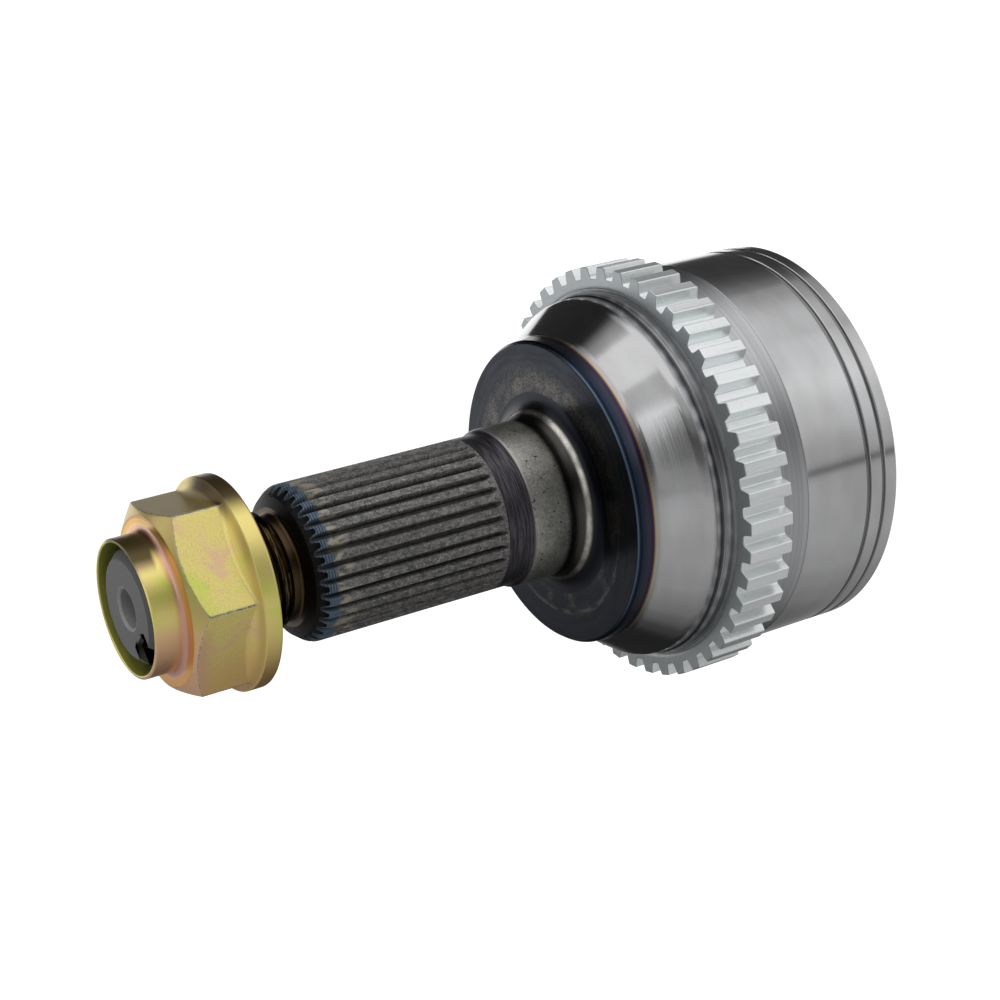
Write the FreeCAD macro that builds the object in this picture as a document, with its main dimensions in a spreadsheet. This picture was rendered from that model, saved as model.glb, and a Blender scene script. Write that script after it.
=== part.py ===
# Outer constant-velocity joint of a driven front wheel: a forged bell with a splined stub shaft, the wheel
# speed ring pressed on it, six balls held by a cage between the bell and a splined inner race, the snap ring
# of the inner race, and the staked hub nut on the stub's thread.
#
# The frame: the origin is the centre that the joint bends about, +X runs along the stub's axis from the nut
# to the open mouth of the bell, and +Z is up. Lengths are in millimetres and angles in degrees.
import FreeCAD, Part
import Sketcher
import math
import os
from types import SimpleNamespace

Vector = FreeCAD.Vector
Rotation = FreeCAD.Rotation
Placement = FreeCAD.Placement

# Driving dimensions
SIZES = {
    # Joint centre, balls and tracks
    "ball_radius": 7.54,
    "ball_circle_radius": 26.6,
    "ball_count": 6,
    "first_ball_angle": 30,
    "track_offset": 3.4,
    "outer_track_clearance": 0.1,
    "inner_track_clearance": 0.2,
    "track_angle_to_mouth": 62,
    "track_angle_to_floor": 45,
    "inner_track_angle": 75,
    # Cage
    "cage_outer_over_circle": 2.7,
    "cage_wall": 4.0,
    "cage_half_width": 11.6,
    "cage_edge_chamfer": 0.6,
    "cage_edge_chamfer_length": 1.2,
    "window_clearance": 0.38,
    "window_side_room": 1.35,
    "window_corner_radius": 3.2,
    "sphere_clearance": 0.2,
    # Inner race and its bore
    "race_mouth_face": 9.5,
    "race_floor_face": 11.0,
    "race_wall": 7.86,
    "bore_spline_depth": 1.0,
    "bore_spline_count": 24,
    "bore_groove_width": 1.7,
    "bore_groove_floor": 1.0,
    "bore_lead_in": 1.2,
    "bore_lead_in_rise": 0.4,
    # Snap ring
    "snap_ring_inset": 0.3,
    "snap_ring_seat_depth": 1.6,
    "snap_ring_thickness": 1.4,
    "snap_ring_from_face": 1.6,
    "snap_ring_clearance": 0.12,
    "snap_ring_gap": 1.8,
    "ear_width": 2.6,
    "ear_height": 4.6,
    "ear_corner_radius": 0.85,
    "ear_hole_radius": 0.9,
    "ear_room": 0.5,
    # Bell, from its mouth to the hub shoulder
    "mouth_from_centre": 18.0,
    "bell_length": 54.4,
    "bell_wall": 3.76,
    "mouth_edge_height": 1.1,
    "mouth_edge_length": 1.1,
    "mouth_rim": 4.7,
    "mouth_cone_angle": 45,
    "cavity_depth": 25.0,
    "lip_length": 3.5,
    "second_groove_width": 1.0,
    "band_width": 2.5,
    "first_groove_width": 1.2,
    "groove_depth": 0.55,
    "groove_flank": 0.2,
    "collar_length": 5.8,
    "collar_step": 0.08,
    "ring_seat_depth": 2.1,
    "ring_seat_length": 9.65,
    "ring_front_from_hub": 16.85,
    "fold_length": 2.3,
    "fold_step": 0.45,
    "land_step": 0.25,
    "flare_angle": 35,
    "flare_root_rounding": 4.0,
    "flare_crown_rounding": 6.0,
    "flare_height": 5.7,
    "hub_land_length": 3.9,
    "hub_chamfer_height": 0.55,
    "hub_chamfer_length": 0.8,
    # Stub shaft, measured from the hub shoulder
    "shoulder_radius": 15.2,
    "shoulder_fillet": 4.3,
    "shoulder_length": 12.3,
    "neck_step_length": 1.4,
    "neck_step_rounding": 1.2,
    "spline_radius": 14.47,
    "spline_inner_end": 18.3,
    "spline_outer_end": 57.35,
    "spline_front_radius": 11.0,
    "spline_lead_radius": 12.85,
    "spline_lead_length": 0.75,
    "spline_chamfer_length": 2.1,
    "spline_chamfer_rounding": 2.5,
    "spline_count": 33,
    "spline_turn": 3.9,
    "spline_depth": 1.2,
    "spline_over_cut": 0.3,
    "spline_gap_top": 1.32,
    "spline_gap_floor": 0.3,
    "runout_radius": 1.6,
    "relief_radius": 9.7,
    "relief_length": 2.35,
    "relief_taper": 0.5,
    "relief_rounding": 0.8,
    "thread_root_radius": 10.1,
    "stub_length": 86.4,
    "end_chamfer": 1.3,
    "centre_hole_radius": 3.5,
    "centre_hole_depth": 8.0,
    "centre_hole_point": 2.0,
    "centre_hole_chamfer": 0.4,
    "stake_slot_width": 6.2,
    "stake_slot_floor": 5.9,
    "stake_slot_length": 13.0,
    "stake_slot_angle": 132,
    # Wheel speed ring
    "tooth_count": 45,
    "tooth_height": 2.3,
    "ring_wall": 2.3,
    "tooth_gap_top": 3.35,
    "tooth_gap_floor": 1.9,
    "tooth_gap_rounding": 0.5,
    "first_tooth_angle": 27.9,
    "ring_bore_chamfer": 0.5,
    # Hub nut
    "nut_rear_from_hub": 66.4,
    "flange_radius": 19.4,
    "flange_thickness": 3.1,
    "flange_edge_rounding": 0.5,
    "skirt_length": 1.9,
    "across_flats": 32.0,
    "hex_corner_angle": 16.4,
    "hex_front_inset": 0.75,
    "nut_length": 20.3,
    "nut_collar_radius": 12.45,
    "nut_collar_wall": 0.75,
    "nut_collar_length": 5.6,
    "nut_collar_depth": 6.6,
    "nut_collar_rounding": 1.1,
    "nut_cone_angle": 58,
    "nut_bore_clearance": 0.09,
    "nut_bore_chamfer": 0.9,
}

OVERRUN = 1.0    # how far a cutting outline runs past the face it cuts
FULL_TURN = 360
HALF_TURN = 180
NUT_SIDES = 6


class Size:
    """A length or angle that is known both as a number and as the expression that drives it."""

    def __init__(self, value, text=None):
        self.value = float(value)
        self.text = text or f"({round(self.value, 9)!r})"

    def joined(self, other, sign, value):
        return Size(value, f"({self.text} {sign} {other.text})")

    def __add__(self, other):
        other = as_size(other)
        return self.joined(other, "+", self.value + other.value)

    def __sub__(self, other):
        other = as_size(other)
        return self.joined(other, "-", self.value - other.value)

    def __mul__(self, other):
        other = as_size(other)
        return self.joined(other, "*", self.value * other.value)

    def __truediv__(self, other):
        other = as_size(other)
        return self.joined(other, "/", self.value / other.value)

    def __neg__(self):
        return Size(0) - self


def as_size(number):
    return number if isinstance(number, Size) else Size(number)


def sine(angle):
    angle = as_size(angle)
    return Size(math.sin(math.radians(angle.value)), f"sin({angle.text})")


def cosine(angle):
    angle = as_size(angle)
    return Size(math.cos(math.radians(angle.value)), f"cos({angle.text})")


def tangent(angle):
    angle = as_size(angle)
    return Size(math.tan(math.radians(angle.value)), f"tan({angle.text})")


def square_root(size):
    return Size(math.sqrt(size.value), f"sqrt({size.text})")


def height_on_sphere(radius, distance):
    """Radius of the circle that a sphere has at a distance from its centre."""
    return square_root(radius * radius - distance * distance)


def latitude(radius, distance):
    """Angle above the equator at which a sphere reaches a distance from its centre."""
    ratio = distance / radius
    return Size(math.degrees(math.asin(ratio.value)), f"(asin({ratio.text}) / 1 deg)")


# Document and its spreadsheet
doc = FreeCAD.newDocument("OuterJoint")
sheet = doc.addObject("Spreadsheet::Sheet", "Sizes")
for row, (name, value) in enumerate(SIZES.items(), start=1):
    sheet.set(f"A{row}", name)
    sheet.set(f"B{row}", str(value))
    sheet.setAlias(f"B{row}", name)
doc.recompute()
size = SimpleNamespace(**{name: Size(value, f"Sizes.{name}") for name, value in SIZES.items()})


# Helpers that draw bound sketches and features
def bind(thing, prop, value):
    thing.setExpression(prop, as_size(value).text)


def new_body(label):
    body = doc.addObject("PartDesign::Body", label)
    body.Label = label
    return body


def origin_feature(body, role):
    return next(part for part in body.Origin.OriginFeatures if part.Role == role)


def new_sketch(body, name, plane, lift=0, turn=None, turn_axis=Vector(0, 0, 1)):
    """A sketch on one of the body's own planes, lifted along its normal and turned about its centre."""
    sketch = body.newObject("Sketcher::SketchObject", name)
    sketch.AttachmentSupport = (origin_feature(body, plane), "")
    sketch.MapMode = "FlatFace"
    height = as_size(lift)
    angle = as_size(turn or 0)
    sketch.AttachmentOffset = Placement(Vector(0, 0, height.value), Rotation(turn_axis, angle.value))
    bind(sketch, "AttachmentOffset.Base.z", height)
    if turn is not None:
        bind(sketch, "AttachmentOffset.Rotation.Angle", angle)
    return sketch


def constrain(sketch, kind, *place, value):
    value = as_size(value)
    index = sketch.addConstraint(Sketcher.Constraint(kind, *place, value.value))
    sketch.setExpression(f"Constraints[{index}]", value.text)


def draw_outline(sketch, corners):
    """A closed outline. A corner is (x, y) or (x, y, rounding), where rounding is the radius of its arc."""
    spots = [Vector(as_size(c[0]).value, as_size(c[1]).value, 0) for c in corners]
    first = sketch.GeometryCount
    count = len(corners)
    for number, spot in enumerate(spots):
        sketch.addGeometry(Part.LineSegment(spot, spots[(number + 1) % count]))
    for number, corner in enumerate(corners):
        line = first + number
        before = first + (number - 1) % count
        sketch.addConstraint(Sketcher.Constraint("Coincident", before, 2, line, 1))
        constrain(sketch, "DistanceX", line, 1, value=corner[0])
        constrain(sketch, "DistanceY", line, 1, value=corner[1])
    for number, corner in enumerate(corners):
        if len(corner) == 3:
            before = first + (number - 1) % count
            sketch.fillet(before, 2, corner[2].value, True, True)
            arc = sketch.GeometryCount - 2
            constrain(sketch, "Radius", arc, value=corner[2])


def draw_circle(sketch, x, y, radius):
    circle = sketch.addGeometry(Part.Circle(Vector(as_size(x).value, as_size(y).value, 0), Vector(0, 0, 1),
                                            radius.value))
    constrain(sketch, "DistanceX", circle, 3, value=x)
    constrain(sketch, "DistanceY", circle, 3, value=y)
    constrain(sketch, "Radius", circle, value=radius)


def draw_turning_line(sketch, half_length, height):
    """A construction line across the sketch that a section can be turned about."""
    left = Vector(-half_length.value, height.value, 0)
    right = Vector(half_length.value, height.value, 0)
    line = sketch.addGeometry(Part.LineSegment(left, right), True)
    for end, across in ((1, -half_length), (2, half_length)):
        constrain(sketch, "DistanceX", line, end, value=across)
        constrain(sketch, "DistanceY", line, end, value=height)


def turned(body, name, sketch, kind="Revolution", axis="H_Axis", angle=FULL_TURN, reverse=False):
    """The sketch turned about one of its own axes, added or cut."""
    feature = body.newObject(f"PartDesign::{kind}", name)
    feature.Profile = sketch
    feature.ReferenceAxis = (sketch, [axis])
    feature.Angle = angle
    feature.Reversed = reverse
    return feature


def swept(body, name, sketch, kind, length=None, reverse=False):
    """The sketch pushed along its normal, added or cut; with no length it cuts right through both ways."""
    feature = body.newObject(f"PartDesign::{kind}", name)
    feature.Profile = sketch
    feature.Reversed = reverse
    if length is None:
        feature.Type = "ThroughAll"
        feature.SideType = "Symmetric"
    else:
        feature.Length = length.value
        bind(feature, "Length", length)
    return feature


def repeated(body, name, features, count):
    """Copies of the features all the way round the X axis."""
    pattern = body.newObject("PartDesign::PolarPattern", name)
    pattern.Originals = features
    pattern.Axis = (origin_feature(body, "X_Axis"), [""])
    pattern.Angle = FULL_TURN
    pattern.Occurrences = int(count.value)
    bind(pattern, "Occurrences", count)
    body.Tip = pattern
    return pattern


def ball_zone(body, name, kind, radius, low=None, high=None):
    """A sphere about the joint's centre, added or cut, ended by flat faces across the X axis."""
    zone = body.newObject(f"PartDesign::{kind}Sphere", name)
    zone.AttachmentSupport = (origin_feature(body, "YZ_Plane"), "")
    zone.MapMode = "FlatFace"
    zone.Radius = radius.value
    bind(zone, "Radius", radius)
    if low is not None:
        zone.Angle1 = -latitude(radius, low).value
        bind(zone, "Angle1", -latitude(radius, low))
    if high is not None:
        zone.Angle2 = latitude(radius, high).value
        bind(zone, "Angle2", latitude(radius, high))
    return zone


def ball_tracks(body, centre_x, track_radius, to_mouth, to_floor):
    """Round-bottomed tracks: a circle swept on an arc about a point of the X axis, once for each ball."""
    arc_radius = square_root(size.ball_circle_radius * size.ball_circle_radius
                             + size.track_offset * size.track_offset)
    sketch = new_sketch(body, "TrackSection", "YZ_Plane", lift=centre_x, turn=size.first_ball_angle)
    draw_circle(sketch, 0, arc_radius, track_radius)
    track = body.newObject("PartDesign::Groove", "Track")
    track.Profile = sketch
    track.ReferenceAxis = (sketch, ["H_Axis"])
    track.Type = "TwoAngles"
    track.Angle = to_mouth.value
    track.Angle2 = to_floor.value
    bind(track, "Angle", to_mouth)
    bind(track, "Angle2", to_floor)
    doc.recompute()
    return repeated(body, "Tracks", [track], size.ball_count)


# Radii that follow from the balls and their circle
cage_outer_radius = size.ball_circle_radius + size.cage_outer_over_circle
cage_inner_radius = cage_outer_radius - size.cage_wall
bore_radius = size.ball_circle_radius - size.ball_radius - size.race_wall
snap_inner_radius = bore_radius - size.snap_ring_inset
snap_outer_radius = bore_radius + size.snap_ring_seat_depth
ear_tip_radius = bore_radius + size.ear_height
bell_radius = size.ball_circle_radius + size.ball_radius + size.bell_wall
mouth_opening_radius = bell_radius - size.mouth_rim
ring_seat_radius = bell_radius - size.ring_seat_depth
fold_radius = ring_seat_radius - size.fold_step
land_radius = fold_radius - size.land_step
hub_radius = land_radius - size.flare_height
tooth_root_radius = ring_seat_radius + size.ring_wall
tooth_tip_radius = tooth_root_radius + size.tooth_height

# Stations along the X axis
mouth_x = size.mouth_from_centre
hub_x = mouth_x - size.bell_length
ring_front_x = hub_x + size.ring_front_from_hub
ring_back_x = ring_front_x + size.ring_seat_length
spline_end_x = hub_x - size.spline_inner_end
spline_start_x = hub_x - size.spline_outer_end
stub_end_x = hub_x - size.stub_length
nut_rear_x = hub_x - size.nut_rear_from_hub
nut_front_x = nut_rear_x - size.nut_length
snap_ring_x = size.race_mouth_face - size.snap_ring_from_face - size.snap_ring_thickness


def bell_corners():
    """The bell's outer side from the hub shoulder's face to the mouth."""
    flare_start_x = hub_x + size.hub_land_length
    flare_run = size.flare_height / tangent(size.flare_angle)
    fold_x = ring_front_x - size.fold_length
    lip_x = mouth_x - size.lip_length
    second_groove_x = lip_x - size.second_groove_width
    band_x = second_groove_x - size.band_width
    first_groove_x = band_x - size.first_groove_width
    floor_radius = bell_radius - size.groove_depth
    return [
        (hub_x, hub_radius - size.hub_chamfer_height),
        (hub_x + size.hub_chamfer_length, hub_radius),
        (flare_start_x, hub_radius, size.flare_root_rounding),
        (flare_start_x + flare_run, land_radius, size.flare_crown_rounding),
        (fold_x, land_radius),
        (fold_x + (fold_radius - land_radius), fold_radius),
        (ring_front_x, ring_seat_radius),
        (ring_back_x, ring_seat_radius),
        (ring_back_x, bell_radius - size.collar_step),
        (ring_back_x + size.collar_length, bell_radius - size.collar_step),
        (ring_back_x + size.collar_length + size.collar_step, bell_radius),
        (first_groove_x, bell_radius),
        (first_groove_x + size.groove_flank, floor_radius),
        (band_x - size.groove_flank, floor_radius),
        (band_x, bell_radius),
        (second_groove_x, bell_radius),
        (second_groove_x + size.groove_flank, floor_radius),
        (lip_x - size.groove_flank, floor_radius),
        (lip_x, bell_radius),
        (mouth_x - size.mouth_edge_length, bell_radius),
        (mouth_x, bell_radius - size.mouth_edge_height),
        (mouth_x, 0),
    ]


def stub_corners():
    """The stub shaft from its end face to the hub shoulder."""
    relief_x = spline_start_x - size.relief_length
    lead_x = spline_start_x + size.spline_lead_length
    shoulder_x = hub_x - size.shoulder_length
    return [
        (stub_end_x, 0),
        (stub_end_x, size.thread_root_radius - size.end_chamfer),
        (stub_end_x + size.end_chamfer, size.thread_root_radius),
        (relief_x, size.thread_root_radius),
        (relief_x + size.relief_taper, size.relief_radius),
        (spline_start_x, size.relief_radius, size.relief_rounding),
        (spline_start_x, size.spline_front_radius),
        (lead_x, size.spline_lead_radius),
        (lead_x + size.spline_chamfer_length, size.spline_radius, size.spline_chamfer_rounding),
        (shoulder_x - size.neck_step_length, size.spline_radius, size.neck_step_rounding),
        (shoulder_x, size.shoulder_radius, size.neck_step_rounding),
        (hub_x, size.shoulder_radius, size.shoulder_fillet),
    ]


def cut_stub_spline(body):
    """Straight gaps between the stub's teeth, each ending in a short curved run-out towards the hub."""
    floor = size.spline_radius - size.spline_depth
    top = size.spline_radius + size.spline_over_cut
    half_floor = size.spline_gap_floor / 2
    flank = (size.spline_gap_top / 2 - half_floor) / size.spline_depth
    half_top = half_floor + flank * (top - floor)
    gap = [(-half_top, top), (-half_floor, floor), (half_floor, floor), (half_top, top)]

    section = new_sketch(body, "SplineGapSection", "YZ_Plane", lift=spline_end_x, turn=size.spline_turn)
    draw_outline(section, gap)
    straight = swept(body, "SplineGap", section, "Pocket",
                     length=size.spline_outer_end - size.spline_inner_end + OVERRUN)

    section = new_sketch(body, "SplineRunoutSection", "YZ_Plane", lift=spline_end_x, turn=size.spline_turn)
    draw_outline(section, gap)
    draw_turning_line(section, half_top, floor + size.runout_radius)
    runout = turned(body, "SplineRunout", section, "Groove", axis="Axis0", angle=90, reverse=True)
    doc.recompute()
    repeated(body, "StubSpline", [straight, runout], size.spline_count)


def make_outer_race():
    """Bell, hub shoulder and stub shaft: one forging, machined and ground."""
    body = new_body("outer_race")
    section = new_sketch(body, "ForgingSection", "XY_Plane")
    draw_outline(section, stub_corners() + bell_corners())
    turned(body, "Forging", section)

    ball_zone(body, "Cavity", "Subtractive", cage_outer_radius + size.sphere_clearance,
              low=size.cavity_depth)
    section = new_sketch(body, "MouthSection", "XY_Plane")
    past_mouth = mouth_x + OVERRUN
    apex_x = mouth_x - mouth_opening_radius / tangent(size.mouth_cone_angle)
    draw_outline(section, [
        (apex_x, 0),
        (past_mouth, 0),
        (past_mouth, mouth_opening_radius + tangent(size.mouth_cone_angle) * OVERRUN),
    ])
    turned(body, "MouthCone", section, "Groove")
    ball_tracks(body, size.track_offset, size.ball_radius + size.outer_track_clearance,
                size.track_angle_to_mouth, size.track_angle_to_floor)

    cut_stub_spline(body)

    section = new_sketch(body, "CentreHoleSection", "XY_Plane")
    hole_end = stub_end_x + size.centre_hole_depth
    draw_outline(section, [
        (stub_end_x, 0),
        (stub_end_x, size.centre_hole_radius + size.centre_hole_chamfer),
        (stub_end_x + size.centre_hole_chamfer, size.centre_hole_radius),
        (hole_end, size.centre_hole_radius),
        (hole_end + size.centre_hole_point, 0),
    ])
    turned(body, "CentreHole", section, "Groove")

    section = new_sketch(body, "StakeSlotSection", "YZ_Plane", lift=stub_end_x, turn=size.stake_slot_angle)
    half_width = size.stake_slot_width / 2
    past_thread = size.thread_root_radius + OVERRUN
    draw_outline(section, [
        (-half_width, size.stake_slot_floor),
        (half_width, size.stake_slot_floor),
        (half_width, past_thread),
        (-half_width, past_thread),
    ])
    swept(body, "StakeSlot", section, "Pocket", length=size.stake_slot_length, reverse=True)
    return body


def make_tone_ring():
    """Toothed ring that the wheel speed sensor reads, pressed on the bell up to its shoulder."""
    body = new_body("tone_ring")
    section = new_sketch(body, "RingSection", "XY_Plane")
    chamfer = size.ring_bore_chamfer
    draw_outline(section, [
        (ring_front_x, ring_seat_radius + chamfer),
        (ring_front_x + chamfer, ring_seat_radius),
        (ring_back_x, ring_seat_radius),
        (ring_back_x, tooth_tip_radius),
        (ring_front_x, tooth_tip_radius),
    ])
    turned(body, "Ring", section)

    half_pitch = Size(HALF_TURN) / size.tooth_count
    section = new_sketch(body, "ToothGapSection", "YZ_Plane", lift=ring_back_x,
                         turn=size.first_tooth_angle + half_pitch)
    past_tip = tooth_tip_radius + OVERRUN
    half_floor = size.tooth_gap_floor / 2
    flank = (size.tooth_gap_top / 2 - half_floor) / (tooth_tip_radius - tooth_root_radius)
    half_past = half_floor + flank * (past_tip - tooth_root_radius)
    draw_outline(section, [
        (-half_floor, tooth_root_radius, size.tooth_gap_rounding),
        (half_floor, tooth_root_radius, size.tooth_gap_rounding),
        (half_past, past_tip),
        (-half_past, past_tip),
    ])
    gap = swept(body, "ToothGap", section, "Pocket", length=size.ring_seat_length)
    doc.recompute()
    repeated(body, "Teeth", [gap], size.tooth_count)
    return body


def make_inner_race():
    """Inner race: part of a sphere with a track for each ball and a splined bore for the half shaft."""
    body = new_body("inner_race")
    sphere_radius = cage_inner_radius - size.sphere_clearance
    ball_zone(body, "Blank", "Additive", sphere_radius, low=size.race_floor_face, high=size.race_mouth_face)

    section = new_sketch(body, "BoreSection", "YZ_Plane")
    draw_circle(section, 0, 0, bore_radius)
    swept(body, "Bore", section, "Pocket")

    ball_tracks(body, -size.track_offset, size.ball_radius + size.inner_track_clearance,
                size.inner_track_angle, size.inner_track_angle)

    section = new_sketch(body, "BoreGrooveSection", "YZ_Plane")
    half_mouth = size.bore_groove_width / 2
    half_floor = size.bore_groove_floor / 2
    floor = bore_radius + size.bore_spline_depth
    inside = bore_radius - size.bore_spline_depth
    draw_outline(section, [
        (-half_mouth, inside),
        (half_mouth, inside),
        (half_mouth, bore_radius),
        (half_floor, floor),
        (-half_floor, floor),
        (-half_mouth, bore_radius),
    ])
    tooth_space = swept(body, "BoreGroove", section, "Pocket")
    doc.recompute()
    repeated(body, "BoreSpline", [tooth_space], size.bore_spline_count)

    section = new_sketch(body, "LeadInSection", "XY_Plane")
    outer = floor + size.bore_lead_in_rise
    for face, inward in ((size.race_mouth_face, Size(-1)), (-size.race_floor_face, Size(1))):
        draw_outline(section, [
            (face, outer),
            (face + inward * size.bore_lead_in, outer - size.bore_lead_in),
            (face, outer - size.bore_lead_in),
        ])
    turned(body, "LeadIns", section, "Groove")

    groove_x = snap_ring_x - size.snap_ring_clearance
    groove_end = snap_ring_x + size.snap_ring_thickness + size.snap_ring_clearance
    groove_radius = snap_outer_radius + size.snap_ring_clearance
    section = new_sketch(body, "SnapGrooveSection", "XY_Plane")
    draw_outline(section, [
        (groove_x, bore_radius - OVERRUN),
        (groove_end, bore_radius - OVERRUN),
        (groove_end, groove_radius),
        (groove_x, groove_radius),
    ])
    turned(body, "SnapGroove", section, "Groove")

    section = new_sketch(body, "EarSlotSection", "YZ_Plane", lift=size.race_mouth_face)
    half_width = size.snap_ring_gap / 2 + size.ear_width + size.ear_room
    draw_outline(section, [
        (-half_width, bore_radius - OVERRUN),
        (half_width, bore_radius - OVERRUN),
        (half_width, ear_tip_radius + size.ear_room, size.ear_room),
        (-half_width, ear_tip_radius + size.ear_room, size.ear_room),
    ])
    swept(body, "EarSlot", section, "Pocket", length=size.race_mouth_face - groove_x)
    return body


def make_snap_ring():
    """Open ring with two eared ends, in the inner race's groove, that holds the half shaft."""
    body = new_body("snap_ring")
    ring_end = snap_ring_x + size.snap_ring_thickness
    section = new_sketch(body, "WireSection", "XZ_Plane")
    draw_outline(section, [
        (snap_ring_x, -snap_outer_radius),
        (ring_end, -snap_outer_radius),
        (ring_end, -snap_inner_radius),
        (snap_ring_x, -snap_inner_radius),
    ])
    middle = (snap_outer_radius + snap_inner_radius) / 2
    ring = turned(body, "OpenRing", section)
    ring.Midplane = True
    bind(ring, "Angle", Size(FULL_TURN) - latitude(middle, size.snap_ring_gap / 2) * 2)

    section = new_sketch(body, "EarSection", "YZ_Plane", lift=snap_ring_x)
    near = size.snap_ring_gap / 2
    far = near + size.ear_width
    for side in (Size(1), Size(-1)):
        draw_outline(section, [
            (side * near, snap_inner_radius + size.snap_ring_clearance),
            (side * far, snap_inner_radius + size.snap_ring_clearance),
            (side * far, ear_tip_radius, size.ear_corner_radius),
            (side * near, ear_tip_radius, size.ear_corner_radius),
        ])
        draw_circle(section, side * (near + far) / 2, ear_tip_radius - size.ear_width / 2,
                    size.ear_hole_radius)
    swept(body, "Ears", section, "Pad", length=size.snap_ring_thickness)
    return body


def make_cage():
    """Spherical cage with a window for each ball."""
    body = new_body("cage")
    ball_zone(body, "Shell", "Additive", cage_outer_radius,
              low=size.cage_half_width, high=size.cage_half_width)
    ball_zone(body, "Hollow", "Subtractive", cage_inner_radius)

    edge_radius = height_on_sphere(cage_inner_radius, size.cage_half_width)
    section = new_sketch(body, "EdgeChamferSection", "XY_Plane")
    for side in (Size(1), Size(-1)):
        face = side * size.cage_half_width
        draw_outline(section, [
            (face, edge_radius - size.cage_edge_chamfer),
            (face, edge_radius + size.cage_edge_chamfer),
            (face - side * size.cage_edge_chamfer_length, edge_radius - size.cage_edge_chamfer),
        ])
    turned(body, "EdgeChamfers", section, "Groove")

    half_width = size.ball_radius + size.window_clearance
    half_length = size.ball_radius + size.window_side_room
    section = new_sketch(body, "WindowSection", "XY_Plane", turn=size.first_ball_angle,
                         turn_axis=Vector(1, 0, 0))
    draw_outline(section, [
        (-half_width, -half_length, size.window_corner_radius),
        (half_width, -half_length, size.window_corner_radius),
        (half_width, half_length, size.window_corner_radius),
        (-half_width, half_length, size.window_corner_radius),
    ])
    window = swept(body, "Window", section, "Pocket",
                   length=cage_outer_radius + OVERRUN, reverse=True)
    doc.recompute()
    repeated(body, "Windows", [window], size.ball_count)
    return body


def make_ball(number):
    """One ball, in its track and cage window."""
    ball = doc.addObject("Part::Sphere", f"ball_{number}")
    ball.Label = f"ball_{number}"
    angle = size.first_ball_angle + Size(FULL_TURN * (number - 1)) / size.ball_count
    across = -size.ball_circle_radius * sine(angle)
    up = size.ball_circle_radius * cosine(angle)
    ball.Radius = size.ball_radius.value
    ball.Placement = Placement(Vector(0, across.value, up.value), Rotation())
    bind(ball, "Radius", size.ball_radius)
    bind(ball, "Placement.Base.y", across)
    bind(ball, "Placement.Base.z", up)
    return ball


def make_hub_nut():
    """Flanged hexagon nut with a thin collar that is staked into the stub's slot."""
    body = new_body("hub_nut")
    flat_radius = size.across_flats / 2
    core_radius = flat_radius - size.hex_front_inset
    corner_radius = flat_radius / cosine(HALF_TURN / NUT_SIDES)
    cone = tangent(size.nut_cone_angle)
    hex_front = nut_front_x + size.nut_collar_length
    flange_x = nut_rear_x - size.flange_thickness
    skirt_slope = (size.flange_radius - flat_radius) / size.skirt_length
    bore = size.thread_root_radius + size.nut_bore_clearance
    recess = size.nut_collar_radius - size.nut_collar_wall
    recess_x = nut_front_x + size.nut_collar_depth

    section = new_sketch(body, "NutSection", "XY_Plane")
    draw_outline(section, [
        (nut_front_x, recess),
        (nut_front_x, size.nut_collar_radius),
        (hex_front, size.nut_collar_radius, size.nut_collar_rounding),
        (hex_front, core_radius),
        (flange_x - size.skirt_length - (flat_radius - core_radius) / skirt_slope, core_radius),
        (flange_x, size.flange_radius, size.flange_edge_rounding),
        (nut_rear_x, size.flange_radius, size.flange_edge_rounding),
        (nut_rear_x, bore + size.nut_bore_chamfer),
        (nut_rear_x - size.nut_bore_chamfer, bore),
        (recess_x + (recess - bore), bore),
        (recess_x, recess),
    ])
    turned(body, "NutBody", section)

    section = new_sketch(body, "HexagonSection", "YZ_Plane", lift=hex_front, turn=size.hex_corner_angle)
    angles = [FULL_TURN / NUT_SIDES * corner for corner in range(NUT_SIDES)]
    draw_outline(section, [(corner_radius * sine(a), corner_radius * cosine(a)) for a in angles])
    draw_circle(section, 0, 0, core_radius - size.hex_front_inset)
    swept(body, "Hexagon", section, "Pad", length=flange_x - hex_front)

    section = new_sketch(body, "CornerConeSection", "XY_Plane")
    past_corner = corner_radius + OVERRUN
    draw_outline(section, [
        (hex_front, core_radius),
        (hex_front, past_corner),
        (hex_front + (past_corner - core_radius) / cone, past_corner),
    ])
    turned(body, "CornerCone", section, "Groove")
    return body


# Build, check and export
parts = [make_outer_race(), make_tone_ring(), make_hub_nut()]
parts += [make_inner_race(), make_snap_ring(), make_cage()]
parts += [make_ball(number + 1) for number in range(int(size.ball_count.value))]
doc.recompute()

for thing in doc.Objects:
    if "Invalid" in thing.State or "Error" in thing.State:
        raise RuntimeError(f"{thing.Name} failed: {thing.State}")
os.makedirs("parts", exist_ok=True)
for part in parts:
    shape = part.Shape
    if shape.isNull() or not shape.isValid() or len(shape.Solids) != 1:
        raise RuntimeError(f"{part.Label} is not one valid solid")
    shape.exportStep(f"parts/{part.Label}.step")
    print(f"{part.Label}: {shape.Volume / 1000:.2f} cubic centimetres, {len(shape.Faces)} faces")
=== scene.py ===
# Looks of the outer constant-velocity joint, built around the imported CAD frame.
# The row frame: origin at the joint's centre, +X along the stub towards the open mouth, +Z up, metres.
# Sizes in this script are in millimetres unless they say otherwise, and MM turns them into metres.
import bpy
import math
import numpy as np
from mathutils import Matrix, Vector


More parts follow.
